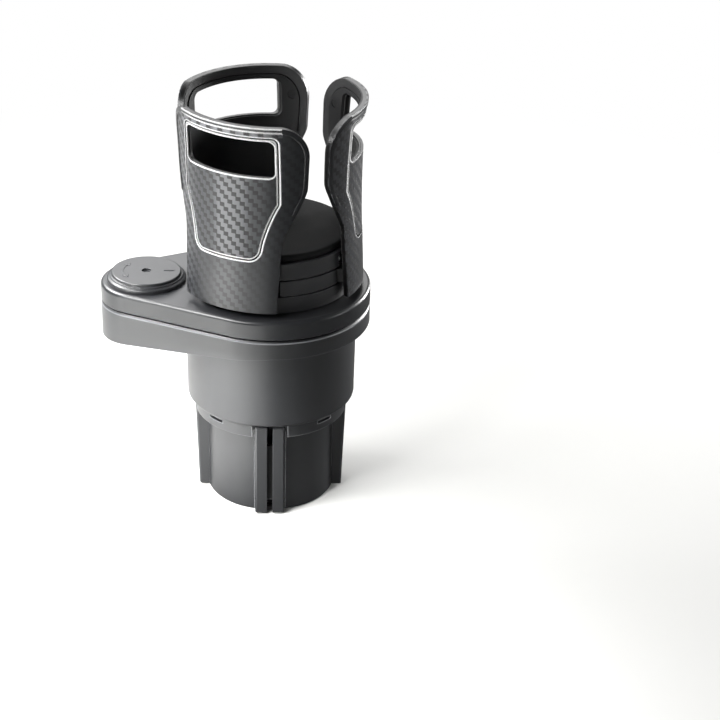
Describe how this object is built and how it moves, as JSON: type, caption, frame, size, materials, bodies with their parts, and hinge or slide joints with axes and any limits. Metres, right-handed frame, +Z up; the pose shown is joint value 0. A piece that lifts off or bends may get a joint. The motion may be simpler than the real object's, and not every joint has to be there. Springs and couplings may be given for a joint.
{
  "type": "cup holder expander",
  "caption": "Stacked car cup holder expander: sprung-fin barrel, lower cup, swivelling pear-shaped plate with a lock knob, and an upper holder of sprung window arms.",
  "frame": {"origin": "centre of the barrel's foot, on the floor of the car's socket", "axes": "+Z up through the stacked cups, -X towards the swivel knob, +X through the first arm"},
  "size_m": [0.1384, 0.102, 0.2184],
  "materials": {
    "body_plastic": "fine satin grain, black ABS",
    "arm_plastic": "black ABS with a printed twill look",
    "twill_film": "twill-pattern film, satin",
    "soft_rubber": "matt black TPE",
    "foam": "matt closed-cell foam",
    "steel": "bright zinc"
  },
  "bodies": {
    "base": {"barrel": "body_plastic", "fin_hub": "body_plastic", "base_screws": "steel", "cup_body": "body_plastic", "cup_mat": "soft_rubber", "pivot_bolt": "steel", "pivot_washer": "steel", "fin_spring_1": "steel", "fin_spring_2": "steel", "fin_spring_3": "steel", "fin_spring_4": "steel"},
    "holder": {"upper_plate": "body_plastic", "swivel_cover": "body_plastic", "core_base": "body_plastic", "core_mid": "body_plastic", "core_cap": "body_plastic", "core_pad": "foam", "core_screws": "steel", "arm_springs_1": "steel", "arm_springs_2": "steel", "arm_springs_3": "steel"},
    "knob": {"knob": "body_plastic", "knob_nut": "steel"},
    "arm_1": {"arm_1": "arm_plastic", "arm_inlay_1": "twill_film", "arm_liner_1": "soft_rubber"},
    "arm_2": {"arm_2": "arm_plastic", "arm_inlay_2": "twill_film", "arm_liner_2": "soft_rubber"},
    "arm_3": {"arm_3": "arm_plastic", "arm_inlay_3": "twill_film", "arm_liner_3": "soft_rubber"},
    "fin_1": {"fin_1": "body_plastic"},
    "fin_2": {"fin_2": "body_plastic"},
    "fin_3": {"fin_3": "body_plastic"},
    "fin_4": {"fin_4": "body_plastic"}
  },
  "joints": [
    {"name": "swivel", "type": "hinge", "parent": "base", "child": "holder", "pos_m": [-0.064, 0, 0.113], "axis": [0, 0, 1], "range_deg": [-180, 180]},
    {"name": "knob_turn", "type": "hinge", "parent": "base", "child": "knob", "pos_m": [-0.064, 0, 0.12], "axis": [0, 0, 1], "range_deg": [0, 90]},
    {"name": "arm_1_slide", "type": "slide", "parent": "holder", "child": "arm_1", "axis": [1, 0, 0], "range_m": [0, 0.008], "stiffness_N_per_m": 500, "springref_m": -0.004, "deforming": ["arm_springs_1"]},
    {"name": "arm_2_slide", "type": "slide", "parent": "holder", "child": "arm_2", "axis": [-0.5, 0.866, 0], "range_m": [0, 0.008], "stiffness_N_per_m": 500, "springref_m": -0.004, "deforming": ["arm_springs_2"]},
    {"name": "arm_3_slide", "type": "slide", "parent": "holder", "child": "arm_3", "axis": [-0.5, -0.866, 0], "range_m": [0, 0.008], "stiffness_N_per_m": 500, "springref_m": -0.004, "deforming": ["arm_springs_3"]},
    {"name": "fin_1_slide", "type": "slide", "parent": "base", "child": "fin_1", "axis": [-1, 0, 0], "range_m": [0, 0.0042], "stiffness_N_per_m": 800, "springref_m": -0.003, "deforming": ["fin_spring_1"]},
    {"name": "fin_2_slide", "type": "slide", "parent": "base", "child": "fin_2", "axis": [0, -1, 0], "range_m": [0, 0.0042], "stiffness_N_per_m": 800, "springref_m": -0.003, "deforming": ["fin_spring_2"]},
    {"name": "fin_3_slide", "type": "slide", "parent": "base", "child": "fin_3", "axis": [1, 0, 0], "range_m": [0, 0.0042], "stiffness_N_per_m": 800, "springref_m": -0.003, "deforming": ["fin_spring_3"]},
    {"name": "fin_4_slide", "type": "slide", "parent": "base", "child": "fin_4", "axis": [0, 1, 0], "range_m": [0, 0.0042], "stiffness_N_per_m": 800, "springref_m": -0.003, "deforming": ["fin_spring_4"]}
  ]
}
